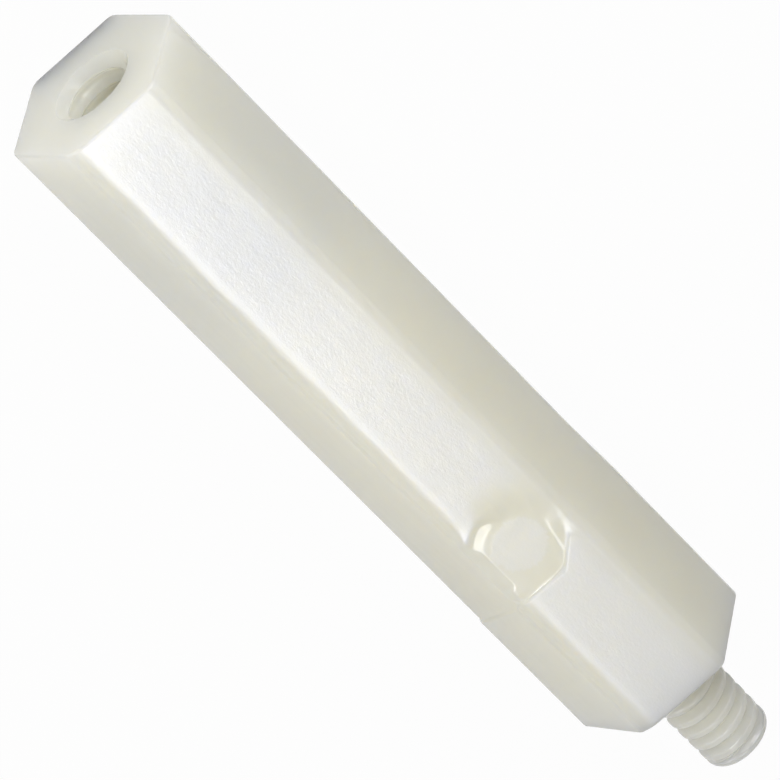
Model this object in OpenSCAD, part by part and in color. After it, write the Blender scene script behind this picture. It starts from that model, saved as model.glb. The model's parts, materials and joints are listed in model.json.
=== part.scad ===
// Hex standoff with a threaded stud at one end and a threaded hole at the other,
// moulded in one piece from natural nylon. Sizes are in millimetres.
// The axis is X, with the origin on it at the shoulder that the stud stands on.
// The part lies on one flat, and the mark that the gate left is on the flat above.

/* [Body] */
// Length of the hexagon, from its open end to the shoulder
body_length = 31.75; // [20:0.25:60]
// Across flats of the long section
body_flats = 6.24; // [5.6:0.02:9]
// Radius of the six long corners
corner_radius = 0.45; // [0.1:0.05:0.8]
// Chamfer that breaks the edges of both ends
end_chamfer = 0.1; // [0.02:0.01:0.3]

/* [Stud end] */
// How far the stud end stands proud of each flat of the long section
step_height = 0.055; // [0.02:0.005:0.2]
// Distance from the shoulder to the step, across the upper flat
step_distance = 7.25; // [4:0.05:12]
// How far the step runs towards the shoulder on its way down to the side corner
step_slant = 1.2; // [0.2:0.1:3]

/* [Gate mark] */
// Radius of the shallow pocket around the gate
pocket_radius = 1.95; // [1.4:0.05:2.2]
// Depth of the pocket below the flat
pocket_depth = 0.14; // [0.1:0.01:0.3]
// Radius of the disc that the broken gate left on the pocket's floor
gate_radius = 1.04; // [0.5:0.02:1.3]
// How far that disc stays below the flat
gate_sunk = 0.06; // [0.02:0.01:0.08]
// How far the gate lies to the side of the flat's middle
gate_offset = 0.3; // [0:0.05:0.6]
// How far the relief of the flat's edge beside the pocket reaches in over the flat
relief_inset = 0.5; // [0.1:0.05:0.6]
// Slope of that relief, down towards the side flat
relief_angle = 23; // [15:1:40]

/* [Stud] */
// Diameter over the crests of the stud's thread
stud_diameter = 2.8; // [2:0.05:4]
// Length of the stud, from the shoulder to its tip
stud_length = 4.76; // [3:0.01:10]
// Chamfer at the stud's tip
tip_chamfer = 0.34; // [0.1:0.02:0.6]

/* [Hole] */
// Diameter inside the crests of the hole's thread
hole_diameter = 2.26; // [1.6:0.02:3.2]
// Depth of the hole
hole_depth = 9.5; // [4:0.25:14]
// Width of the countersink around the hole's mouth, on each side
mouth_chamfer = 0.44; // [0.1:0.02:0.7]
// Chamfer at the foot of the hole
foot_chamfer = 0.3; // [0.1:0.02:0.6]

/* [Hidden] */
$fn = 96;
corner_steps = 8;
overlap = 1;
nylon = "#E3E0D3";

stud_end_flats = body_flats + 2 * step_height;
flat_width = body_flats / sqrt(3);
top = body_flats / 2;
gate_x = -(step_distance + pocket_radius);
gate_y = -gate_offset;
gate_height = pocket_depth - gate_sunk;
edge_to_gate = flat_width / 2 - gate_offset;
relief_length = 2 * sqrt(pow(pocket_radius, 2) - pow(edge_to_gate, 2));

// Points of a hexagon with two flats level and its corners rounded
function rounded_hexagon(flats) = [
    for (corner = [0:5])
        for (step = [0:corner_steps])
            let (
                middle = 60 * corner,
                around = middle - 30 + 60 * step / corner_steps,
                out = (flats - 2 * corner_radius) / sqrt(3)
            )
            [
                out * cos(middle) + corner_radius * cos(around),
                out * sin(middle) + corner_radius * sin(around)
            ]
];

// Side view of two opposite flats, with the chamfers of their end edges
function flat_pair(flats, start, start_chamfer) = [
    [start, flats / 2 - start_chamfer],
    [start + start_chamfer, flats / 2],
    [-end_chamfer, flats / 2],
    [0, flats / 2 - end_chamfer],
    [0, end_chamfer - flats / 2],
    [-end_chamfer, -flats / 2],
    [start + start_chamfer, -flats / 2],
    [start, start_chamfer - flats / 2]
];

// Hexagonal bar from start to the shoulder
module bar(flats, start, start_chamfer) {
    intersection() {
        translate([start, 0, 0])
            rotate([90, 0, 90])
                linear_extrude(height = -start)
                    polygon(rounded_hexagon(flats));
        flat_pairs(flats, start, start_chamfer);
    }
}

// The three pairs of flats, which share the chamfered side view
module flat_pairs(flats, start, start_chamfer) {
    intersection_for (turn = [0, 60, 120])
        rotate([90 + turn, 0, 0])
            linear_extrude(height = 2 * flats, center = true)
                polygon(flat_pair(flats, start, start_chamfer));
}

// The thicker section at the stud end: its step is square across the upper flat,
// then slants towards the shoulder on one side
module stud_end() {
    edge = flat_width / 2;
    side = stud_end_flats;
    slope = step_slant / edge;
    intersection() {
        bar(stud_end_flats, -step_distance, 0);
        linear_extrude(height = 2 * stud_end_flats, center = true)
            polygon([
                [-step_distance, side],
                [-step_distance, -edge],
                [-step_distance + (side - edge) * slope, -side],
                [overlap, -side],
                [overlap, side]
            ]);
    }
}

// Threaded stud, drawn over its crests
module stud() {
    radius = stud_diameter / 2;
    rotate([0, 90, 0])
        rotate_extrude()
            polygon([
                [0, -overlap],
                [radius, -overlap],
                [radius, stud_length - tip_chamfer],
                [radius - tip_chamfer, stud_length],
                [0, stud_length]
            ]);
}

// Threaded hole, drawn inside its crests, with a countersunk mouth
module hole() {
    radius = hole_diameter / 2;
    translate([-body_length, 0, 0])
        rotate([0, 90, 0])
            rotate_extrude()
                polygon([
                    [0, -overlap],
                    [radius + mouth_chamfer + overlap, -overlap],
                    [radius, mouth_chamfer],
                    [radius, hole_depth - foot_chamfer],
                    [radius - foot_chamfer, hole_depth],
                    [0, hole_depth]
                ]);
}

// Shallow round pocket that keeps the gate's mark below the flat
module gate_pocket() {
    translate([gate_x, gate_y, top - pocket_depth])
        difference() {
            cylinder(r = pocket_radius, h = pocket_depth + overlap);
            translate([0, 0, -overlap])
                cylinder(r = gate_radius, h = overlap + gate_height);
        }
}

// Sloping relief where the pocket runs over the edge of its flat
module edge_relief() {
    translate([gate_x - relief_length / 2, relief_inset - flat_width / 2, top])
        rotate([relief_angle, 0, 0])
            translate([0, -2 * overlap, 0])
                cube([relief_length, 2 * overlap, overlap]);
}

module standoff() {
    color(nylon)
        difference() {
            union() {
                difference() {
                    bar(body_flats, -body_length, end_chamfer);
                    gate_pocket();
                    edge_relief();
                }
                stud_end();
                stud();
            }
            hole();
        }
}

standoff();
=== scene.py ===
import json
import math

import bmesh
import bpy
from mathutils import Matrix, Vector, noise


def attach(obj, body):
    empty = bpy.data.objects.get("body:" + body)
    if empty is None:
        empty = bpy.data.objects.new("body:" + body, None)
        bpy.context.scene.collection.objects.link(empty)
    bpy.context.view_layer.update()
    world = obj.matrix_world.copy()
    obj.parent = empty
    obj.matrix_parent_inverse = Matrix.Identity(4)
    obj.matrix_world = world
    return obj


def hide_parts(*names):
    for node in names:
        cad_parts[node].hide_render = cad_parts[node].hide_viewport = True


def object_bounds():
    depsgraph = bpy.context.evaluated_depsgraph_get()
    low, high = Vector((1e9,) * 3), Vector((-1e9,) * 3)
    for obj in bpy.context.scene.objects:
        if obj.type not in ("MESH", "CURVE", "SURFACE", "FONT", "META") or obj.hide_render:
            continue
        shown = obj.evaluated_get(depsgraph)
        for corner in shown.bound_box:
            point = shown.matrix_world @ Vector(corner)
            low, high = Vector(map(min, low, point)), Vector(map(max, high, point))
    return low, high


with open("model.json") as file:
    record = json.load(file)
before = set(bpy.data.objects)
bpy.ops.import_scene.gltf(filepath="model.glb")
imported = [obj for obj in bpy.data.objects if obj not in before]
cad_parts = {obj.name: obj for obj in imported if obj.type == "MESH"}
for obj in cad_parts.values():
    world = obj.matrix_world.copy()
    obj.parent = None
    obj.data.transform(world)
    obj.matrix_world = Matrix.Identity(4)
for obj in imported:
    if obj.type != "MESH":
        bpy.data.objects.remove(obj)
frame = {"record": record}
cadLow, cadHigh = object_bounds()

# The part is modelled in millimetres and brought to metres at the end.
metre = 0.001
mounts = {mount["name"]: mount for mount in frame["record"]["mounts"]}
bodyLength = -cadLow.x / metre
studLength = cadHigh.x / metre
studFlats = (cadHigh.z - cadLow.z) / metre
studRadius = mounts["stud"]["dims"]["r_mm"]
holeRadius = mounts["hole"]["dims"]["r_mm"]
print("frame loaded, body", round(bodyLength, 2), "mm, stud", round(studLength, 2), "mm")


def smooth(value, low, high):
    share = min(max((value - low) / (high - low), 0.0), 1.0)
    return share * share * (3.0 - 2.0 * share)


def mix(low, high, share):
    return low + (high - low) * share


# The bar

bar = {
    "cornerRadius": 0.45,
    "cornerSteps": 8,
    "rimRadius": 0.1,
    "rimSteps": 4,
    "supportInset": 0.05,   # ring that keeps the flats flat beside a round
    "stepHeight": 0.055,    # how far the stud end stands proud of each flat
    "stepDistance": 7.25,
    "stepSlant": 1.2,       # run of the step down the lower side flat
    "stepWidth": 0.07,      # the step is a short ramp
    "bendStart": 0.2,       # from here across the flat, the step bends back along the pocket's wall
    "bendRun": 1.3,
    "flare": (1.1, 1.7),    # across this stretch the ramp widens, to no clear step on the far side
    "flareLength": 3.0,
    "loopSpacing": 0.4,
    "fineSpacing": 0.05,    # around the gate mark and the step
    "fineMargin": 0.3,
    "endMargin": 0.5,
    "edgeWander": 0.006,    # the long edges aren't dead straight
    "wanderAlong": 0.9,
    "wanderAcross": 2.0,
    "wanderFade": 1.0,      # but both ends keep their size
    "crown": 0.03,          # how much lower the upper flat is at its edges
    "crownReach": 0.6,      # how far down the sides that goes
    "rollStart": 1.1,       # one edge of the upper flat rolls off, from this far out
    "roll": 0.25,           # its drop at a millimetre beyond that, which grows with the square
    "rollReach": (0.3, 0.02),
    "topCuts": 64,
    "sideCuts": 32,
    "weld": 0.0005,
    "sharpAngle": math.radians(40),
}
flats = studFlats - 2 * bar["stepHeight"]
top = flats / 2
halfFlat = flats / (2 * math.sqrt(3))
growth = 2 * bar["stepHeight"] / flats
touch = 1e-4   # two points this close lie on the same plane
hairline = 1e-5   # a cut takes points this close as lying on it

# A spread is two cosines of the angle from a side's middle: nothing at the first, all at the second.
gate = {
    "x": -9.18,
    "y": -0.3,
    "zone": 0.5,            # the mark moves nothing further below the flat than this
    "zoneFade": (0.3, 0.05),
    "rimRadius": 1.93,
    "straightSide": math.radians(50),   # a stretch of the rim is nearly straight
    "straightDistance": 1.68,
    "leastFacing": 0.1,     # only guards a division
    "stepReach": 2.3,       # below that stretch the pocket runs on to the step
    "rimCrisp": 0.07,       # towards the stud the pocket has a clear wall
    "crispSide": math.radians(15),
    "crispSpread": (0.2, 0.5),
    "rimDeep": 0.3,         # on one side it has a deeper moat
    "deepSide": math.radians(225),
    "deepSpread": (0.7, 0.95),
    "moatDeep": 0.105,
    "rimSoft": 0.8,         # elsewhere it runs out softly
    "padRadius": 1.5,
    "padDepth": 0.055,
    "padShallow": 0.015,    # the pocket's floor comes up towards the far edge of the flat
    "padRun": (1.3, -0.8),
    "padSlope": 0.56,
    "ledgeRise": 0.02,      # low ledge between the disc and the clear wall
    "ledgeStart": (0.16, 1.21),
    "ledgeEnd": (1.25, 1.02),
    "ledgeWidth": 0.07,
    "ledgeFadeIn": (-0.4, 0.1),
    "ledgeFadeOut": (1.4, 0.95),
    "discRadius": 1.06,
    "discTear": 0.13,       # the broken gate left a ragged edge
    "tearCoarse": 2.3,
    "tearFine": 9.0,
    "tearFineShare": 0.7,
    "reliefEdge": -1.5,     # beside the pocket the flat's edge is sloped off
    "reliefSlope": math.tan(math.radians(23)),
    "reliefRound": 0.22,
    "reliefBlend": 0.25,
    "reliefReach": 1.5,
    "reliefFade": 0.7,
    "rollGap": (1.5, 2.1),  # the edge doesn't roll off this near to the gate
}


def sliceAt(bm, places):
    for place in places:
        geom = bm.verts[:] + bm.edges[:] + bm.faces[:]
        bmesh.ops.bisect_plane(
            bm, geom=geom, dist=hairline, plane_co=(place, 0, 0), plane_no=(1, 0, 0))


def steps(start, stop, spacing):
    count = max(1, round((stop - start) / spacing))
    return [mix(start, stop, index / count) for index in range(count + 1)]


def hexBar():
    bm = bmesh.new()
    cornerOut = flats / math.sqrt(3)
    bmesh.ops.create_cone(
        bm, cap_ends=True, segments=6, radius1=cornerOut, radius2=cornerOut, depth=bodyLength)
    bmesh.ops.rotate(bm, verts=bm.verts, matrix=Matrix.Rotation(math.radians(90), 3, "Y"))
    bmesh.ops.translate(bm, verts=bm.verts, vec=(-bodyLength / 2, 0, 0))
    longEdges = [e for e in bm.edges if e.calc_length() > bodyLength / 2]
    bmesh.ops.bevel(
        bm, geom=longEdges, offset=bar["cornerRadius"] * math.tan(math.radians(30)),
        affect="EDGES", segments=bar["cornerSteps"], profile=0.5, material=-1)
    rims = [e for e in bm.edges if e.calc_length() < bodyLength / 2]
    bmesh.ops.bevel(
        bm, geom=rims, offset=bar["rimRadius"], affect="EDGES",
        segments=bar["rimSteps"], profile=0.5, material=-1)
    wide = [f for f in bm.faces if f.calc_area() > halfFlat * halfFlat]
    bmesh.ops.inset_individual(bm, faces=wide, thickness=bar["supportInset"])
    return bm


def runsBetween(edge, low, high):
    ends = sorted(vert.co.x for vert in edge.verts)
    return abs(ends[0] - low) < touch and abs(ends[1] - high) < touch


def crossesFlat(edge, outward):
    first, second = (vert.co for vert in edge.verts)
    onFlat = min(first.dot(outward), second.dot(outward)) > top - bar["rimRadius"] - touch
    return onFlat and abs(first.x - second.x) < touch and edge.calc_length() > halfFlat


def addLoops(bm):
    fineStart = gate["x"] - gate["rimRadius"] - bar["fineMargin"]
    fineEnd = bar["stepSlant"] - bar["stepDistance"] + bar["fineMargin"]
    marks = [bar["endMargin"] - bodyLength, fineStart, fineEnd, -bar["endMargin"]]
    sliceAt(bm, marks)
    spacings = (bar["loopSpacing"], bar["fineSpacing"], bar["loopSpacing"])
    for low, high, spacing in zip(marks, marks[1:], spacings):
        runs = [e for e in bm.edges if runsBetween(e, low, high)]
        cuts = round((high - low) / spacing) - 1
        bmesh.ops.subdivide_edges(bm, edges=runs, cuts=cuts, use_grid_fill=True)
    slope = math.radians(60)
    upper = Vector((0, 0, 1))
    side = Vector((0, -math.sin(slope), math.cos(slope)))
    for outward, cuts in ((upper, bar["topCuts"]), (side, bar["sideCuts"])):
        across = [e for e in bm.edges if crossesFlat(e, outward)]
        bmesh.ops.subdivide_edges(bm, edges=across, cuts=cuts, use_grid_fill=True)


def stepShare(place):
    # how far across the step a point is, from 0 on the long section to 1 on the stud end
    side = max(-place.y - halfFlat, 0.0) / halfFlat
    besidePocket = min(max(place.y - bar["bendStart"], 0.0), bar["bendRun"])
    line = -bar["stepDistance"] + bar["stepSlant"] * side - besidePocket
    width = mix(bar["stepWidth"], bar["flareLength"], smooth(place.y, *bar["flare"]))
    return smooth(place.x, line - width / 2, line + width / 2)


def discEdge(angle):
    ring = Vector((math.cos(angle), math.sin(angle), 0.0))
    fine = noise.noise(ring * gate["tearFine"])
    tear = noise.noise(ring * gate["tearCoarse"]) + gate["tearFineShare"] * fine
    return gate["discRadius"] + gate["discTear"] * tear


def ledgeShare(across):
    start, end = Vector(gate["ledgeStart"]), Vector(gate["ledgeEnd"])
    run = end - start
    along = (across - start).dot(run) / run.length_squared
    beyond = (across - start).dot(Vector((-run.y, run.x))) / run.length
    within = smooth(along, *gate["ledgeFadeIn"]) * smooth(along, *gate["ledgeFadeOut"])
    half = gate["ledgeWidth"] / 2
    return smooth(beyond, -half, half) * within


def fromGate(place):
    across = Vector((place.x - gate["x"], place.y - gate["y"]))
    return across, across.length, math.atan2(across.y, across.x)


def crispShare(angle):
    return smooth(math.cos(angle - gate["crispSide"]), *gate["crispSpread"])


def deepShare(angle):
    return smooth(math.cos(angle - gate["deepSide"]), *gate["deepSpread"])


def pocketRim(angle):
    if -math.pi / 2 < angle < 0.0:
        return min(gate["rimRadius"] / math.cos(angle), gate["stepReach"])
    facing = max(math.cos(angle - gate["straightSide"]), gate["leastFacing"])
    return min(gate["rimRadius"], gate["straightDistance"] / facing)


def gateDepth(place):
    across, radius, angle = fromGate(place)
    deep = deepShare(angle)
    width = mix(mix(gate["rimSoft"], gate["rimCrisp"], crispShare(angle)), gate["rimDeep"], deep)
    rim = smooth(radius, pocketRim(angle) - width, pocketRim(angle))
    slope = gate["padSlope"] / 2
    pad = smooth(radius, gate["padRadius"] - slope, gate["padRadius"] + slope)
    floor = mix(gate["padShallow"], gate["padDepth"], smooth(across.y, *gate["padRun"]))
    depth = mix(floor, gate["moatDeep"], deep * pad)
    depth -= gate["ledgeRise"] * ledgeShare(across)
    return mix(max(depth, 0.0), 0.0, rim)


def rampFrom(value, rounding):
    # nothing below the start and a slope of one above it, with a round bend between
    if abs(value) > rounding:
        return max(value, 0.0)
    return (value + rounding) ** 2 / (4 * rounding)


def reliefDrop(place):
    # the sloped-off edge beside the pocket
    within = abs(place.x - gate["x"]) / gate["reliefReach"]
    slope = rampFrom(gate["reliefEdge"] - place.y, gate["reliefRound"]) * gate["reliefSlope"]
    drop = place.z - (top - gate["padDepth"] - slope)
    begun = smooth(place.y, gate["reliefEdge"] + gate["reliefBlend"], gate["reliefEdge"])
    return max(drop, 0.0) * begun * (1.0 - smooth(within, gate["reliefFade"], 1.0))


def nearFlat(height, reach):
    # from 0 at the first distance below the upper flat to 1 at the second
    return smooth(height, top - reach[0], top - reach[1])


def crownDrop(place):
    crown = bar["crown"] * min(abs(place.y) / halfFlat, 1.0) ** 2
    roll = bar["roll"] * max(-place.y - bar["rollStart"], 0.0) ** 2
    roll *= smooth(abs(place.x - gate["x"]), *gate["rollGap"])
    crown *= nearFlat(place.z, (bar["crownReach"], 0.0))
    return crown + roll * nearFlat(place.z, bar["rollReach"])


def wanderAt(place):
    fade = bar["wanderFade"]
    inside = smooth(place.x, -bodyLength, fade - bodyLength) * smooth(place.x, 0.0, -fade)
    across = bar["wanderAcross"]
    spot = Vector((place.x * bar["wanderAlong"], place.y * across, place.z * across))
    return bar["edgeWander"] / top * inside * abs(noise.noise(spot))


def shapeBar(bm):
    for vert in bm.verts:
        place = vert.co.copy()
        share = 1.0 if place.x > -bar["endMargin"] else stepShare(place)
        scale = 1.0 + growth * share - wanderAt(place)
        vert.co.y = place.y * scale
        vert.co.z = place.z * scale - crownDrop(place)
        if place.z > top - gate["zone"]:
            pocket = gateDepth(place) * nearFlat(place.z, gate["zoneFade"])
            vert.co.z -= max(pocket, reliefDrop(place))


def toObject(bm, name):
    mesh = bpy.data.meshes.new(name)
    bm.to_mesh(mesh)
    bm.free()
    made = bpy.data.objects.new(name, mesh)
    bpy.context.scene.collection.objects.link(made)
    return made


# The threads

thread = {
    "pitch": 0.635,
    "crestFlat": 0.2,
    "rootFlat": 0.05,
    "rounding": 0.095,      # moulded crests are round
    "roundSteps": 4,
    "stepsPerTurn": 64,
    "spareTurns": 2,        # beyond each end, until the rod is trimmed
    "weld": 0.001,
}
studForm = {
    "groove": 0.36,
    "foot": -0.4,           # how far the stud is sunk into the bar before the two are joined
    "phase": -0.14,
    "tipRound": 0.34,
    "tipLoops": 7,
    "tipGap": 0.01,         # the last loop stays this far from the tip
    "tipCurve": 0.98,       # share of a full quarter round
    "landStart": 0.6,       # the groove runs out before the tip
    "landEnd": 0.3,
    "taper": 0.05,
}
holeForm = {
    "groove": 0.22,
    "depth": 9.5,
    "mouth": 0.44,          # depth and width of the countersink
    "loops": 5,
    "reach": 0.6,           # how far the tap stands out of the bar before it is cut away
    "phase": 0.0,
}


def threadedRod(root, crest, start, stop, phase):
    # one pitch of the thread's section is swept along the helix, and neighbouring turns weld
    bm = bmesh.new()
    pitch = thread["pitch"]
    turns = math.ceil((stop - start) / pitch) + 2 * thread["spareTurns"]
    section = [
        (0.0, root),
        (thread["rootFlat"] / 2, root),
        (pitch / 2 - thread["crestFlat"] / 2, crest),
        (pitch / 2 + thread["crestFlat"] / 2, crest),
        (pitch - thread["rootFlat"] / 2, root),
        (pitch, root),
    ]
    first = start + phase - thread["spareTurns"] * pitch
    line = [bm.verts.new((first + along, 0, out)) for along, out in section]
    for one, two in zip(line, line[1:]):
        bm.edges.new((one, two))
    bmesh.ops.bevel(
        bm, geom=line[2:4], offset=thread["rounding"], affect="VERTICES",
        segments=thread["roundSteps"], profile=0.5, material=-1)
    count = thread["stepsPerTurn"]
    bmesh.ops.spin(
        bm, geom=bm.verts[:] + bm.edges[:], cent=(0, 0, 0), axis=(1, 0, 0),
        dvec=(pitch / count, 0, 0), angle=math.tau * turns, steps=count * turns)
    bmesh.ops.remove_doubles(bm, verts=bm.verts, dist=thread["weld"])
    return bm


def trimRod(bm, start, stop):
    for place, side in ((start, -1), (stop, 1)):
        bmesh.ops.bisect_plane(
            bm, geom=bm.verts[:] + bm.edges[:] + bm.faces[:], dist=hairline,
            plane_co=(place, 0, 0), plane_no=(side, 0, 0), clear_outer=True)
    rims = [e for e in bm.edges if e.is_boundary]
    bmesh.ops.edgeloop_fill(bm, edges=rims)
    bmesh.ops.recalc_face_normals(bm, faces=bm.faces)


def keepRadius(vert, low, high):
    out = math.hypot(vert.co.y, vert.co.z)
    kept = min(max(out, low), high)
    vert.co.y *= kept / out
    vert.co.z *= kept / out


def studRod():
    root = studRadius - studForm["groove"]
    bm = threadedRod(root, studRadius, 0.0, studLength, studForm["phase"])
    rounding = studForm["tipRound"]
    lastLoop = studLength - studForm["tipGap"]
    sliceAt(bm, steps(studLength - rounding, lastLoop, rounding / studForm["tipLoops"]))
    for vert in bm.verts:
        left = studLength - vert.co.x
        crest = studRadius - studForm["taper"] * smooth(vert.co.x, 0.0, studLength)
        late = min(max(1.0 - left / rounding, 0.0), 1.0)
        limit = crest - rounding * (1.0 - math.sqrt(1.0 - studForm["tipCurve"] * late * late))
        land = smooth(left, studForm["landStart"], studForm["landEnd"])
        keepRadius(vert, mix(root, limit, land), limit)
    trimRod(bm, studForm["foot"], studLength)
    return toObject(bm, "studRod")


def holeTap():
    mouth = -bodyLength
    foot = mouth + holeForm["depth"]
    groove = holeRadius + holeForm["groove"]
    bm = threadedRod(holeRadius, groove, mouth, foot, holeForm["phase"])
    sliceAt(bm, steps(mouth, mouth + holeForm["mouth"], holeForm["mouth"] / holeForm["loops"]))
    for vert in bm.verts:
        sink = max(holeRadius + holeForm["mouth"] - (vert.co.x - mouth), holeRadius)
        keepRadius(vert, sink, max(sink, groove))
    trimRod(bm, mouth - holeForm["reach"], foot)
    return toObject(bm, "holeTap")


def combine(body, tool, operation):
    cut = body.modifiers.new("combine", "BOOLEAN")
    cut.object = tool
    cut.operation = operation
    cut.solver = "MANIFOLD"
    seen = body.evaluated_get(bpy.context.evaluated_depsgraph_get())
    result = bpy.data.meshes.new_from_object(seen)
    body.modifiers.clear()
    body.data = result
    bpy.data.objects.remove(tool)


# The blasted finish

blasted = {
    "flatReach": (0.07, 0.015),
    "farFade": (0.8, 1.6),  # it is weaker towards the far edge of the flat
    "farLoss": 0.6,
    "rimOverlap": 0.1,
    "softFade": 1.2,        # it fades out before the soft side of the pocket
    "discShare": 0.6,       # the torn disc is grained too, less than the flat
    "discReach": (0.35, 0.1),
    "discInside": 0.1,
    "discOutside": 0.05,
}


def grainShare(place):
    # the mould was blasted on the upper and lower flats, and polished in the pocket
    level = abs(place.z) / (1.0 + growth * stepShare(place))
    onFlat = nearFlat(level, blasted["flatReach"])
    if place.z < 0:
        return onFlat
    onFlat *= 1.0 - blasted["farLoss"] * smooth(place.y, *blasted["farFade"])
    radius, angle = fromGate(place)[1:]
    edge, rim = discEdge(angle), pocketRim(angle)
    beyond = smooth(radius, edge - blasted["discInside"], edge + blasted["discOutside"])
    onDisc = blasted["discShare"] * (1.0 - beyond) * nearFlat(place.z, blasted["discReach"])
    fade = blasted["softFade"] * (1.0 - max(crispShare(angle), deepShare(angle)))
    outside = smooth(radius, rim - blasted["rimOverlap"], rim + fade)
    return max(onFlat * outside, onDisc)


# The whole moulding


def standoffPiece():
    bm = hexBar()
    addLoops(bm)
    shapeBar(bm)
    bmesh.ops.recalc_face_normals(bm, faces=bm.faces)
    piece = toObject(bm, "standoffMoulding")
    print("bar shaped,", len(piece.data.polygons), "faces")
    combine(piece, studRod(), "UNION")
    combine(piece, holeTap(), "DIFFERENCE")
    bm = bmesh.new()
    bm.from_mesh(piece.data)
    bmesh.ops.remove_doubles(bm, verts=bm.verts, dist=bar["weld"])
    grain = bm.verts.layers.float.new("grain")
    for vert in bm.verts:
        vert[grain] = grainShare(vert.co)
    bmesh.ops.scale(bm, verts=bm.verts, vec=(metre, metre, metre))
    bm.to_mesh(piece.data)
    openEdges = sum(1 for e in bm.edges if not e.is_manifold)
    bm.free()
    piece.data.shade_smooth()
    piece.data.set_sharp_from_angle(angle=bar["sharpAngle"])
    print("threads joined,", len(piece.data.polygons), "faces,", openEdges, "open edges")
    return piece


# Materials


def hexColour(text):
    parts = [int(text[index:index + 2], 16) / 255 for index in (0, 2, 4)]
    linear = [p / 12.92 if p <= 0.04045 else ((p + 0.055) / 1.055) ** 2.4 for p in parts]
    return (*linear, 1.0)


def addNode(tree, kind, inputs=None, **settings):
    made = tree.nodes.new(kind)
    for name, value in settings.items():
        setattr(made, name, value)
    for socket, value in (inputs or {}).items():
        if isinstance(value, bpy.types.NodeSocket):
            tree.links.new(value, made.inputs[socket])
        else:
            made.inputs[socket].default_value = value
    return made


def newMaterial(name):
    material = bpy.data.materials.new(name)
    material.use_nodes = True
    material.node_tree.nodes.clear()
    return material, material.node_tree


nylon = {
    "milky": "EAE8DB",
    "creamy": "E4E1D1",
    "frosted": "EBEAE5",
    "cloudSize": 4.0,
    "grainSize": 0.075,
    "grainStretch": 0.6,
    "grainHeight": 0.007,
    "smoothRoughness": 0.2,
    "grainRoughness": 0.22,
    "scatterDepth": 5.5,
}


def mouldedNylon():
    # natural nylon 6/6 as moulded: light sinks in and comes back milky, satin where the mould was
    # polished, with a fine glitter where it was blasted
    material, tree = newMaterial("mouldedNaturalNylon")
    place = addNode(tree, "ShaderNodeTexCoord").outputs["Object"]
    cloud = addNode(tree, "ShaderNodeTexNoise", {
        "Vector": place, "Scale": 1 / (nylon["cloudSize"] * metre), "Detail": 2.0})
    colour = addNode(tree, "ShaderNodeMixRGB", {
        "Fac": cloud.outputs["Fac"], "Color1": hexColour(nylon["milky"]),
        "Color2": hexColour(nylon["creamy"])})
    mask = addNode(tree, "ShaderNodeAttribute", attribute_name="grain").outputs["Fac"]
    colour = addNode(tree, "ShaderNodeMixRGB", {
        "Fac": mask, "Color1": colour.outputs["Color"], "Color2": hexColour(nylon["frosted"])})
    stretched = addNode(tree, "ShaderNodeMapping", {
        "Vector": place, "Scale": (nylon["grainStretch"], 1.0, 1.0)})
    grit = addNode(tree, "ShaderNodeTexNoise", {
        "Vector": stretched.outputs["Vector"], "Scale": 1 / (nylon["grainSize"] * metre),
        "Detail": 3.0, "Roughness": 0.6})
    height = addNode(tree, "ShaderNodeMath", {0: grit.outputs["Fac"], 1: mask}, operation="MULTIPLY")
    bump = addNode(tree, "ShaderNodeBump", {
        "Strength": 1.0, "Distance": nylon["grainHeight"] * metre, "Height": height.outputs["Value"]})
    rough = addNode(tree, "ShaderNodeMapRange", {
        "Value": mask, "To Min": nylon["smoothRoughness"], "To Max": nylon["grainRoughness"]})
    surface = addNode(tree, "ShaderNodeBsdfPrincipled", {
        "Base Color": colour.outputs["Color"], "Roughness": rough.outputs["Result"], "IOR": 1.53,
        "Specular IOR Level": 0.45, "Subsurface Weight": 1.0, "Subsurface Radius": (1.0, 0.93, 0.74),
        "Subsurface Scale": nylon["scatterDepth"] * metre, "Normal": bump.outputs["Normal"]})
    addNode(tree, "ShaderNodeOutputMaterial", {"Surface": surface.outputs["BSDF"]})
    return material


piece = standoffPiece()
piece.data.materials.clear()
piece.data.materials.append(mouldedNylon())
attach(piece, "root")
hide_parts("standoff")
print("standoff dressed")

# Floor, light and camera

studio = {
    "floorSide": 1.2,
    "floorColour": "C8C8C4",
    "backgroundShare": 0.97,
    "ambient": 0.13,
    "lamps": {
        # name: direction from the part, distance and side in metres, power in watts
        "keyBox": ((0.363, -0.15, 0.92), 0.2, 0.04, 0.042),
        "edgeBox": ((0.39, -0.35, 0.853), 0.5, 0.12, 0.44),
        "fillBox": ((-0.68, 0.58, 0.45), 0.145, 0.08, 0.11),
        "endBox": ((-0.62, 0.0, 0.78), 0.1, 0.05, 0.02),
        "sideBox": ((-0.35, -0.85, 0.4), 0.16, 0.08, 0.075),
    },
}


def showsBackground(tree):
    # the ways in which the white background is seen, straight on or in a reflection
    path = addNode(tree, "ShaderNodeLightPath")
    seen = addNode(tree, "ShaderNodeMath", {
        0: path.outputs["Is Camera Ray"], 1: path.outputs["Is Glossy Ray"]}, operation="MAXIMUM")
    either = addNode(tree, "ShaderNodeMath", {
        0: seen.outputs["Value"], 1: path.outputs["Is Transmission Ray"]}, operation="MAXIMUM")
    return either.outputs["Value"]


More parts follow.
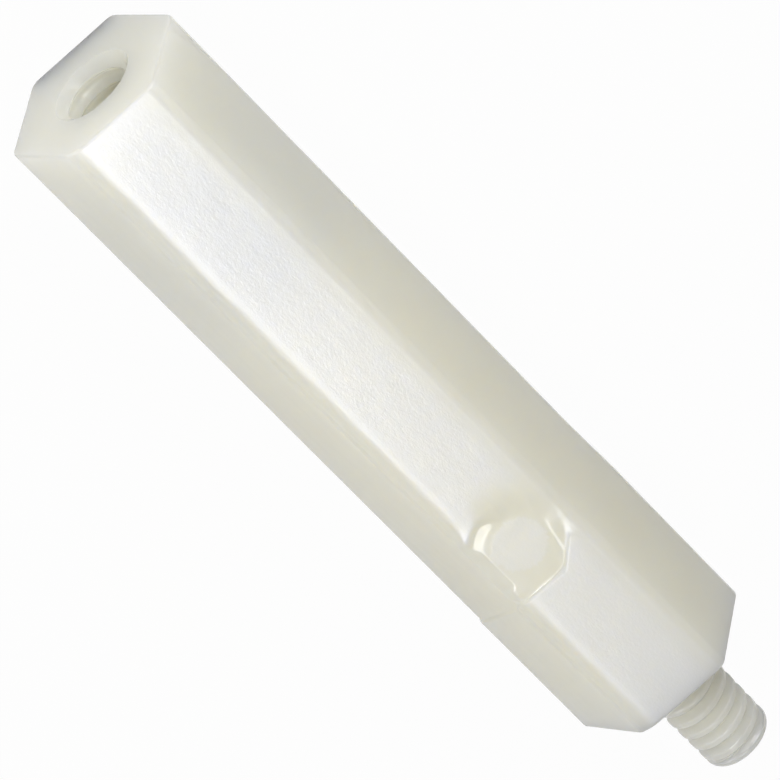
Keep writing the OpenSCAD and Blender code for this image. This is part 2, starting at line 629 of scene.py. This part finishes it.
def paleFloor():
    bm = bmesh.new()
    bmesh.ops.create_grid(bm, x_segments=1, y_segments=1, size=studio["floorSide"] / 2)
    bmesh.ops.translate(bm, verts=bm.verts, vec=(0, 0, cadLow.z))
    floor = toObject(bm, "paleFloor")
    material, tree = newMaterial("paintedStudioFloor")
    paint = addNode(tree, "ShaderNodeBsdfDiffuse", {"Color": hexColour(studio["floorColour"])})
    white = addNode(tree, "ShaderNodeEmission", {"Color": (1, 1, 1, 1), "Strength": 1.0})
    share = addNode(tree, "ShaderNodeMath", {
        0: showsBackground(tree), 1: studio["backgroundShare"]}, operation="MULTIPLY")
    shown = addNode(tree, "ShaderNodeMixShader", {
        0: share.outputs["Value"], 1: paint.outputs["BSDF"], 2: white.outputs["Emission"]})
    addNode(tree, "ShaderNodeOutputMaterial", {"Surface": shown.outputs["Shader"]})
    floor.data.materials.append(material)


def softLight(name, direction, distance, side, power):
    lamp = bpy.data.lights.new(name, "AREA")
    lamp.shape = "SQUARE"
    lamp.size = side
    lamp.energy = power
    box = bpy.data.objects.new(name, lamp)
    toLamp = Vector(direction).normalized()
    middle = Vector((-bodyLength * metre / 2, 0, 0))
    box.location = middle + toLamp * distance
    box.rotation_euler = toLamp.to_track_quat("Z", "Y").to_euler()
    box.visible_camera = False
    bpy.context.scene.collection.objects.link(box)


def whiteWorld():
    world = bpy.data.worlds.new("whiteRoom")
    world.use_nodes = True
    tree = world.node_tree
    tree.nodes.clear()
    level = addNode(tree, "ShaderNodeMapRange", {
        "Value": showsBackground(tree), "To Min": studio["ambient"], "To Max": 1.0})
    light = addNode(tree, "ShaderNodeBackground", {
        "Color": (1, 1, 1, 1), "Strength": level.outputs["Result"]})
    addNode(tree, "ShaderNodeOutputWorld", {"Surface": light.outputs["Background"]})
    bpy.context.scene.world = world


view = {
    "lens": 348.46,
    "aim": (-15.444, -0.092, 0.0),
    "toCamera": (-0.48085, 0.10584, 0.87039),
    "distance": 260.55,
    "up": (-0.62311, 0.65713, -0.42415),
}


def photoCamera():
    lens = bpy.data.cameras.new("photoCamera")
    lens.lens = view["lens"]
    lens.sensor_width = 36.0
    lens.clip_start = 0.01
    lens.clip_end = 10.0
    camera = bpy.data.objects.new("photoCamera", lens)
    back = Vector(view["toCamera"]).normalized()
    right = Vector(view["up"]).cross(back).normalized()
    upward = back.cross(right)
    turn = Matrix((right, upward, back)).transposed().to_4x4()
    place = (Vector(view["aim"]) + back * view["distance"]) * metre
    camera.matrix_world = Matrix.Translation(place) @ turn
    bpy.context.scene.collection.objects.link(camera)
    bpy.context.scene.camera = camera


paleFloor()
for name, settings in studio["lamps"].items():
    softLight(name, *settings)
whiteWorld()
photoCamera()
bpy.context.scene.view_settings.view_transform = "Standard"
print("floor, light and camera set")
